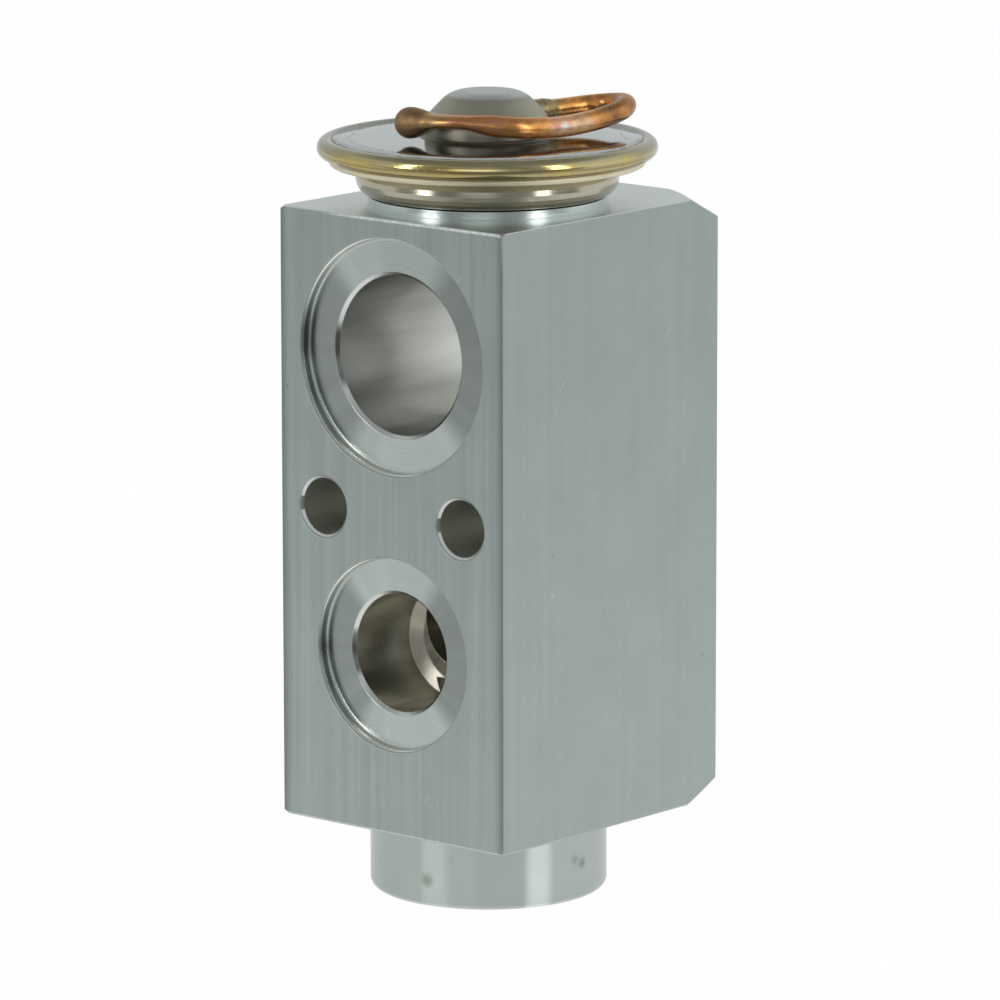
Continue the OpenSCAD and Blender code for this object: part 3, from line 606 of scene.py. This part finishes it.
def lid_finish(looks):
    """Mirror-bright lid that falls off towards its rim, with heat marks there, and a satin dome with painted shade
    towards its foot.
    """
    f = Finish("bright_lid")
    dome = f.radius.rise(DOME_R + 0.2, DOME_R - 0.2)
    cap = f.z.rise(DOME_TOP - 0.7, DOME_TOP - 0.35) * dome
    dome_foot_shade = f.z.rise(LID_Z + 1.8, LID_Z + 0.2)
    wavy = f.noise(f.place, 0.35, 3.0, 0.6)
    spots = f.noise(f.place, 1.1, 4.0, 0.75)
    grain = f.noise(f.place, 6.0, 3.0, 0.7)
    lines = f.rings(f.radius, f.z, 9.0)

    # Two broken rings of heat marks
    stray = f.radius + wavy.sway(1.8)
    arcs = stray.band(LID_RIM_R - 2.2, LID_RIM_R - 1.9, 0.15) * 0.8
    arcs = arcs + stray.rise(LID_RIM_R - 1.0, LID_RIM_R - 0.1)
    heat = arcs * spots.rise(0.42, 0.56) * (1.0 - dome)
    rim = f.radius.rise(LID_RIM_R - 0.3, LID_RIM_R)

    base = f.mix(looks.lid, looks.heat, (heat * 0.75).most(rim * 0.25))
    base = f.mix(base, looks.dome, dome)
    # The dome a little lighter, and painted shade darkening it towards its foot
    base = f.tinted(base, 1.0 + dome * (0.1 - dome_foot_shade * 0.6))
    base = f.mix(base, looks.cap, cap)
    base = f.tinted(base, 1.0 + lines.sway(0.06) + wavy.sway(0.12) + grain.sway(0.22) * dome)
    rough = 0.07 + heat * 0.2 + dome * 0.36 + wavy.sway(0.05)

    # The fall in the lid's last 3 mm
    fall = f.radius.most(LID_RIM_R - 3.0) - (LID_RIM_R - 3.0)
    fallen = f.bump(fall * fall * (-0.055), 1.0, f.edges(0.12)[0])
    normal = f.bump(lines * 0.2 + grain * dome * 1.2 + wavy * 0.6, 0.008, fallen)
    return f.close(base=base, metallic=1.0, roughness=rough, normal=normal)


def bead_finish(looks):
    """Heat-tinted weld with fine ripples: golden on one side, most of all low down, else silvery, where the silver
    is partly a painted reflection; a painted glint and painted shade run along its middle.
    """
    f = Finish("golden_weld")
    ripple = f.noise(f.point(f.y.angle(f.x) * 30.0, f.z * 0.5), 1.0, 2.0, 0.6)
    patch = f.noise(f.place, 0.16, 3.0, 0.6)
    golden_side = f.towards(BEAD_GOLD).rise(-0.2, 0.7)
    low = f.z.rise(BEAD_Z + 0.9, BEAD_Z + 0.2) * 0.6 + 0.4
    base = f.mix(looks.pale, looks.bead, low * golden_side * (0.65 + patch.rise(0.62, 0.42) * 0.35))
    base = f.mix(base, looks.heat, f.radius.rise(BEAD_R - 1.5, BEAD_R - 1.75) * 0.3)

    # A painted glint along the middle, over a painted dark line
    painted_glint_line = f.z.band(BEAD_Z - 0.02, BEAD_Z + 0.22, 0.1) * (0.3 + f.towards(BEAD_PAINTED_GLINT).rise(0.95, 0.995))
    painted_dark_line = f.z.band(BEAD_Z - 0.42, BEAD_Z - 0.2, 0.1) * 0.5
    base = f.tinted(base, 1.0 + ripple.sway(0.16) + (painted_glint_line - painted_dark_line) * golden_side * 0.6)
    rough = 0.12 + (patch - 0.4) * 0.1
    return f.close(base=base, metallic=1.0, roughness=rough, normal=f.bump(ripple, 0.008))


def bowl_finish(looks):
    """Drawn steel bowl with a matt, cream-coloured flange over it, whose pale cream is partly a painted
    reflection.
    """
    f = Finish("drawn_bowl")
    flange = f.z.rise(FLANGE_BOTTOM, FLANGE_BOTTOM + 0.2)
    patch = f.noise(f.place, 0.15, 3.0, 0.6)
    lines = f.rings(f.radius, f.z, 5.0)
    base = f.mix(looks.bowl, looks.flange, flange)
    base = f.tinted(base, 1.0 + lines.sway(0.14) + patch.sway(0.4))
    rough = 0.17 + patch.sway(0.1) + flange * 0.38
    return f.close(base=base, metallic=1.0, roughness=rough, normal=f.bump(lines * (1.0 - flange), 0.004))


# The charge tube's finishes


def copper_finish(looks):
    """Drawn copper: sandy at its sealed end, heat-tinted on its way and bright inside its loop."""
    f = Finish("tinted_copper")
    along, _, _ = f.parts(f.add("ShaderNodeUVMap", {"uv_map": "route"}))
    mottle = f.noise(f.place, 1.1, 4.0, 0.65)
    blotch = f.noise(f.place, 0.45, 3.0, 0.6)
    drawn = f.noise(f.scaled(f.place, 0.5, 0.5, 6.0), 1.0, 3.0, 0.6)
    stray = along + mottle.sway(0.035)
    soot = (along.rise(0.13, 0.06) + mottle.sway(0.9)).rise(0.2, 0.7)
    # Heat tints, stronger in a band of height where the tube's highlight falls: partly real tint, partly painted
    # sheen
    painted_sheen_crest = f.z.band(LID_Z + 1.7, LID_Z + 2.3, 0.4)
    pink, more_pink = PINK_STRETCHES
    pink = stray.band(*pink, 0.008).most(stray.band(*more_pink, 0.006))
    base = f.layered(
        looks.copper,
        (looks.brown, stray.band(*BROWN_STRETCH, 0.03) * (0.5 + blotch.rise(0.35, 0.65) * 0.5)),
        (looks.olive, stray.band(*OLIVE_STRETCH, 0.03) * blotch.rise(0.35, 0.6) * 0.7),
        (looks.purple, stray.band(*PURPLE_STRETCH, 0.04) * mottle.rise(0.4, 0.62) * 0.6),
        (looks.bright, along.band(*BRIGHT_STRETCH, 0.02) * mottle.rise(0.38, 0.6) * 0.8),
        (looks.straw, stray.band(*STRAW_STRETCH, 0.03) * (0.25 + painted_sheen_crest * 0.35)),
        (looks.pink, pink * (0.2 + painted_sheen_crest * 0.3)),
        (looks.blue, stray.band(*BLUE_STRETCH, 0.008) * painted_sheen_crest * 0.8),
        (looks.soot, soot * 0.9),
        (looks.olive, along.rise(0.89, 0.93) * 0.8),
    )
    base = f.tinted(base, 1.0 + mottle.sway(1.1) + drawn.sway(0.4) + blotch.sway(0.5))
    rough = 0.26 + soot * 0.18 + mottle.sway(0.25)
    height = mottle * (0.5 + soot) + drawn * 0.4
    return f.close(base=base, metallic=1.0, roughness=rough, normal=f.bump(height, 0.04))


def braze_finish(looks):
    """Olive braze, mottled and a little lumpy."""
    f = Finish("olive_braze")
    lumps = f.noise(f.place, 1.8, 3.0, 0.6)
    base = f.tinted(looks.braze, 0.6 + lumps * 0.8)
    return f.close(base=base, metallic=1.0, roughness=0.24 + lumps * 0.2, normal=f.bump(lumps, 0.08))


# Finishes of small and inner pieces


def plain_metal(name, rgb, roughness, per_mm=4.0, marks=0.15):
    """Turned or drawn metal with fine lines round the valve's axis."""
    f = Finish(name)
    lines = f.rings(f.radius, f.z, per_mm)
    patch = f.noise(f.place, 0.4, 2.0, 0.6)
    base = f.tinted(rgb, 1.0 + lines.sway(marks * 2.0) + patch.sway(marks))
    rough = roughness + patch.sway(0.1)
    return f.close(base=base, metallic=1.0, roughness=rough, normal=f.bump(lines, 0.01))


def rubber_finish(looks):
    """Black rubber with a faint bloom."""
    f = Finish("black_rubber")
    patch = f.noise(f.place, 1.6, 3.0, 0.6)
    base = f.tinted(looks.rubber, 1.0 + patch.sway(0.6))
    return f.close(base=base, roughness=0.5 + patch.sway(0.2), normal=f.bump(patch, 0.02))


# The charge tube's shape


def smooth_point(points, t):
    """Point at parameter t of the smooth curve through a list of points."""
    last = len(points) - 1
    i = min(int(t), last - 1)
    f = t - i
    a, b, c, d = points[max(i - 1, 0)], points[i], points[i + 1], points[min(i + 2, last)]
    return 0.5 * (2 * b + (c - a) * f + (2 * a - 5 * b + 4 * c - d) * f * f + (3 * b - a - 3 * c + d) * f**3)


def smooth(t):
    """Eases a share between 0 and 1."""
    t = min(max(t, 0.0), 1.0)
    return t * t * (3 - 2 * t)


def swollen(away, ball, radius):
    """Radius of a tube that swells into a ball at its end."""
    return radius + (ball - radius) * math.exp(-((away / NECK_LENGTH) ** 2))


def tube_stations(looks):
    """Centre, width and height of the tube's section at each station, from the sealed end on."""
    stub = math.radians(STUB_ANGLE)
    points = [Vector(p) for p in TUBE_ROUTE]
    points += [Vector((r * math.cos(stub), r * math.sin(stub), STUB_UP)) for r in STUB_RADII]
    last = len(points) - 1
    start = points[0]
    heading = (smooth_point(points, 0.05) - start).normalized()
    stations = []
    for angle in map(math.radians, BALL_ANGLES):
        size = looks.ball * math.cos(angle)
        stations.append((start + heading * looks.ball * math.sin(angle), size, size))
    steps = STATIONS_PER_POINT * last
    for step in range(steps + 1):
        t = last * step / steps
        centre = smooth_point(points, t)
        away = (centre - start).length
        pinched = smooth((PINCH_END - t) / PINCH_FADE)
        wide = swollen(away, looks.ball, looks.radius + PINCH_SPREAD * pinched)
        high = swollen(away, looks.ball, looks.radius + (looks.pinch / 2 - looks.radius) * pinched)
        stations.append((centre, wide, high))
    return stations


def section_place(stations, i):
    """Matrix that turns a circle of radius 1 into the tube's section at station i."""
    centre, wide, high = stations[i]
    before = stations[max(i - 1, 0)][0]
    after = stations[min(i + 1, len(stations) - 1)][0]
    forward = (after - before).normalized()
    across = forward.cross(Vector((0, 0, 1))).normalized()
    upward = across.cross(forward)
    axes = Matrix((across * wide, upward * high, forward)).transposed().to_4x4()
    return Matrix.Translation(centre) @ axes


def skin_tube(bm, stations, sides):
    """Extrudes a ring from station to station, closes both ends and notes how far along each ring lies."""
    ring = bmesh.ops.create_circle(bm, segments=sides, radius=1.0)["verts"]
    uv = bm.loops.layers.uv.new("route")
    travelled = [0.0]
    for (here, _, _), (there, _, _) in zip(stations, stations[1:]):
        travelled.append(travelled[-1] + (there - here).length)
    along = {}
    placed = Matrix.Identity(4)
    for i in range(len(stations)):
        target = section_place(stations, i)
        if i:
            edges = {edge for vert in ring for edge in vert.link_edges if edge.other_vert(vert) in ring}
            new = bmesh.ops.extrude_edge_only(bm, edges=list(edges))["geom"]
            ring = [part for part in new if isinstance(part, bmesh.types.BMVert)]
        bmesh.ops.transform(bm, matrix=target @ placed.inverted(), verts=ring)
        placed = target
        for vert in ring:
            along[vert] = travelled[i] / travelled[-1]
    bmesh.ops.holes_fill(bm, edges=[edge for edge in bm.edges if edge.is_boundary])
    bmesh.ops.recalc_face_normals(bm, faces=bm.faces)
    for face in bm.faces:
        for loop in face.loops:
            loop[uv].uv = (along[loop.vert], 0.5)
    turn = Matrix.Rotation(math.radians(TUBE_TURN), 4, "Z")
    lifted = Matrix.Translation((0, 0, LID_Z)) @ turn
    bmesh.ops.transform(bm, matrix=Matrix.Scale(MM, 4) @ lifted, verts=bm.verts)


def finished(bm, name, material):
    """Turns a bmesh into a smooth object."""
    mesh = bpy.data.meshes.new(name)
    bm.to_mesh(mesh)
    bm.free()
    mesh.materials.append(material)
    for polygon in mesh.polygons:
        polygon.use_smooth = True
    piece = bpy.data.objects.new(name, mesh)
    bpy.context.scene.collection.objects.link(piece)
    return piece


# Operators


class VALVE_OT_block(bpy.types.Operator):
    """Finish the machined block"""

    bl_idname = "valve.block"
    bl_label = "Finish the block"

    def execute(self, context):
        dress("valve_body", block_finish(context.scene.valve_block))
        return {"FINISHED"}


class VALVE_OT_head(bpy.types.Operator):
    """Finish the power head: its lids, weld bead and dome"""

    bl_idname = "valve.head"
    bl_label = "Finish the power head"

    def execute(self, context):
        looks = context.scene.valve_head
        dress("upper_lid", lid_finish(looks))
        dress("rim_weld_bead", bead_finish(looks))
        dress("lower_lid", bowl_finish(looks))
        return {"FINISHED"}


class VALVE_OT_tube(bpy.types.Operator):
    """Bend and seal the copper charge tube, and finish its ferrule and braze"""

    bl_idname = "valve.tube"
    bl_label = "Make the charge tube"

    def execute(self, context):
        looks = context.scene.valve_tube
        bm = bmesh.new()
        skin_tube(bm, tube_stations(looks), looks.sides)
        tube = finished(bm, "charge_tube_bent", copper_finish(looks))
        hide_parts("charge_tube")
        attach(tube, "housing")
        dress("tube_ferrule", plain_metal("tinted_ferrule", looks.ferrule, 0.30))
        dress("tube_braze", braze_finish(looks))
        return {"FINISHED"}


class VALVE_OT_inner(bpy.types.Operator):
    """Finish the rod, ball, springs, seals and adjusting screw"""

    bl_idname = "valve.inner"
    bl_label = "Finish the inner pieces"

    def execute(self, context):
        looks = context.scene.valve_inner
        rubber = rubber_finish(looks)
        for node in ("rod_seal", "head_seal", "adjusting_screw_seal"):
            dress(node, rubber)
        dress("sensing_rod", plain_metal("turned_aluminium", looks.rod, 0.3))
        dress("actuating_pin", plain_metal("ground_steel", looks.pin, 0.14))
        dress("valve_ball", plain_metal("polished_ball", looks.ball, 0.06, 1.0, 0.03))
        steel = plain_metal("spring_steel", looks.steel, 0.3)
        for node in ("superheat_spring", "damping_spring", "rod_seal_retainer", "diaphragm"):
            dress(node, steel)
        brass = plain_metal("turned_brass", looks.brass, 0.28)
        for node in ("adjusting_screw", "ball_carrier", "diaphragm_stop"):
            dress(node, brass)
        return {"FINISHED"}


# The camera, fitted to the photograph: angles in degrees, distance in metres and aim in millimetres
CAMERA_TURN = 40.722
CAMERA_RISE = 11.078
CAMERA_ROLL = -0.077
CAMERA_DISTANCE = 0.85
CAMERA_AIM = (1.356, 44.661)
CAMERA_FOCAL_PIXELS = 7497.0
PICTURE_PIXELS = 1000
SENSOR_WIDTH = 36.0

# Level directions to the picture's right and towards the camera
TURN = math.radians(CAMERA_TURN)
ASIDE = Vector((math.cos(TURN), math.sin(TURN), 0))
TOWARD = Vector((math.sin(TURN), -math.cos(TURN), 0))

# The strip lights: degrees from the camera's direction, and distance and size in metres
STRIP_ANGLES = {"left_strip": -56.0, "right_strip": 49.0}
STRIP_DISTANCE = 0.9
STRIP_SIZE = (0.20, 0.75)

# The table, in metres: half its side, how little lies under the part, and where its near side dims
TABLE_REACH = 4.0
TABLE_GAP = 0.00002
TABLE_END = (0.04, 0.16)
WHITE = 1.03


class VALVE_OT_stage(bpy.types.Operator):
    """Set up the table, the lights, the surroundings and the camera"""

    bl_idname = "valve.stage"
    bl_label = "Set up the studio"

    def execute(self, context):
        looks = context.scene.valve_stage
        scene = context.scene
        scene.view_settings.view_transform = "Standard"
        self.camera(scene)
        self.table(looks)
        self.surroundings(scene)
        for name, angle in STRIP_ANGLES.items():
            self.strip(scene, name, math.radians(angle), looks.strips)
        return {"FINISHED"}

    def camera(self, scene):
        """A camera that looks at the valve as the photograph does."""
        rise = math.radians(CAMERA_RISE)
        aim = (ASIDE * CAMERA_AIM[0] + Vector((0, 0, CAMERA_AIM[1]))) * MM
        forward = -TOWARD * math.cos(rise) - Vector((0, 0, math.sin(rise)))
        data = bpy.data.cameras.new("camera")
        data.sensor_fit = "HORIZONTAL"
        data.sensor_width = SENSOR_WIDTH
        data.lens = SENSOR_WIDTH * CAMERA_FOCAL_PIXELS / PICTURE_PIXELS
        data.clip_start = 0.05
        camera = bpy.data.objects.new("camera", data)
        axes = Matrix((ASIDE, ASIDE.cross(forward), -forward)).transposed().to_4x4()
        roll = Matrix.Rotation(math.radians(CAMERA_ROLL), 4, "Z")
        camera.matrix_world = Matrix.Translation(aim - forward * CAMERA_DISTANCE) @ axes @ roll
        scene.collection.objects.link(camera)
        scene.camera = camera

    def table(self, looks):
        """A white table that ends a little way towards the camera, where metal shows it dim."""
        bm = bmesh.new()
        bmesh.ops.create_grid(bm, x_segments=1, y_segments=1, size=TABLE_REACH)
        bmesh.ops.translate(bm, verts=bm.verts, vec=(0, 0, -TABLE_GAP))
        material = bpy.data.materials.new("studio_table")
        material.use_nodes = True
        n = Nodes(material.node_tree)
        seen = n.add("ShaderNodeLightPath", out="Is Camera Ray")
        mirrored = n.add("ShaderNodeLightPath", out="Is Glossy Ray")
        place = n.add("ShaderNodeTexCoord", out="Object")
        toward, aside = n.dot(place, TOWARD), n.dot(place, ASIDE)
        end = toward.rise(*TABLE_END) * (1.0 - seen)
        near = n.vector("LENGTH", place, (0.0, 0.0, 0.0), "Value").rise(0.30, 0.05)

        # Metal shows it lighter at the right and round the part
        level = 0.47 + aside.rise(-0.08, 0.08) * 0.18 + near * 0.06
        lit = seen * 0.94 + mirrored * (1.0 - end) * level
        matte = n.add("ShaderNodeBsdfDiffuse", None, {"Color": n.mix(looks.floor, looks.dim, end)})
        white = n.add("ShaderNodeEmission", None, {"Strength": WHITE})
        shader = n.add("ShaderNodeMixShader", None, {0: lit, 1: matte, 2: white})
        n.add("ShaderNodeOutputMaterial", None, {"Surface": shader})
        finished(bm, "table", material)

    def surroundings(self, scene):
        """White to the camera. Metal shows it light at the sides, greyer behind, and dim overhead and in front."""
        scene.world = bpy.data.worlds.new("studio")
        scene.world.use_nodes = True
        n = Nodes(scene.world.node_tree)
        way = n.add("ShaderNodeTexCoord", out="Generated")
        _, _, up = n.parts(way)
        toward, aside = n.dot(way, TOWARD), n.dot(way, ASIDE)
        front = toward.rise(0.35, 0.85)

        # The glow stands in front, a little to the left, and is strongest low down
        heights = up.band(-0.02, 0.25, 0.06) + up.band(0.0, 0.85, 0.1) * 0.4
        glow = aside.band(-0.4, 0.12, 0.12) * heights * front
        level = (0.66 + toward.rise(-0.7, -0.2) * 0.18) * (1.0 - front * 0.62) + glow * 0.5
        level = level * (1.0 - up.rise(0.5, 0.9) * 0.6) * (1.0 + aside * 0.17)

        seen = n.add("ShaderNodeLightPath", out="Is Camera Ray")
        tone = n.mix((0.97, 1.0, 0.99), (1.0, 1.0, 1.0), seen)
        strength = level * (1.0 - seen) + seen
        light = n.add("ShaderNodeBackground", None, {"Color": tone, "Strength": strength})
        n.add("ShaderNodeOutputWorld", None, {"Surface": light})

    def strip(self, scene, name, angle, power):
        """An upright strip light that stands on the table's height and faces the valve's axis."""
        data = bpy.data.lights.new(name, "AREA")
        data.shape = "RECTANGLE"
        data.size, data.size_y = STRIP_SIZE
        data.energy = power
        lamp = bpy.data.objects.new(name, data)
        outward = TOWARD * math.cos(angle) + ASIDE * math.sin(angle)
        lamp.location = outward * STRIP_DISTANCE + Vector((0, 0, STRIP_SIZE[1] / 2))
        lamp.rotation_euler = (-outward).to_track_quat("-Z", "Y").to_euler()
        scene.collection.objects.link(lamp)


class VALVE_PT_panel(bpy.types.Panel):
    """Steps that dress the valve"""

    bl_idname = "VALVE_PT_panel"
    bl_label = "Block expansion valve"
    bl_space_type = "VIEW_3D"
    bl_region_type = "UI"
    bl_category = "Valve"

    def draw(self, context):
        for group, operator in STEPS.items():
            looks = getattr(context.scene, group)
            box = self.layout.box()
            for name in looks.bl_rna.properties.keys():
                if name not in ("rna_type", "name"):
                    box.prop(looks, name)
            box.operator(operator.bl_idname)


STEPS = {
    "valve_block": VALVE_OT_block,
    "valve_head": VALVE_OT_head,
    "valve_tube": VALVE_OT_tube,
    "valve_inner": VALVE_OT_inner,
    "valve_stage": VALVE_OT_stage,
}
GROUPS = {
    "valve_block": BlockLooks,
    "valve_head": HeadLooks,
    "valve_tube": TubeLooks,
    "valve_inner": InnerLooks,
    "valve_stage": StageLooks,
}
CLASSES = (*GROUPS.values(), *STEPS.values(), VALVE_PT_panel)


def register():
    for cls in CLASSES:
        bpy.utils.register_class(cls)
    for name, cls in GROUPS.items():
        setattr(bpy.types.Scene, name, PointerProperty(type=cls))


def unregister():
    for name in GROUPS:
        delattr(bpy.types.Scene, name)
    for cls in reversed(CLASSES):
        bpy.utils.unregister_class(cls)


def main():
    register()
    bpy.ops.valve.stage()
    bpy.ops.valve.block()
    bpy.ops.valve.head()
    bpy.ops.valve.tube()
    bpy.ops.valve.inner()


if __name__ == "__main__":
    main()
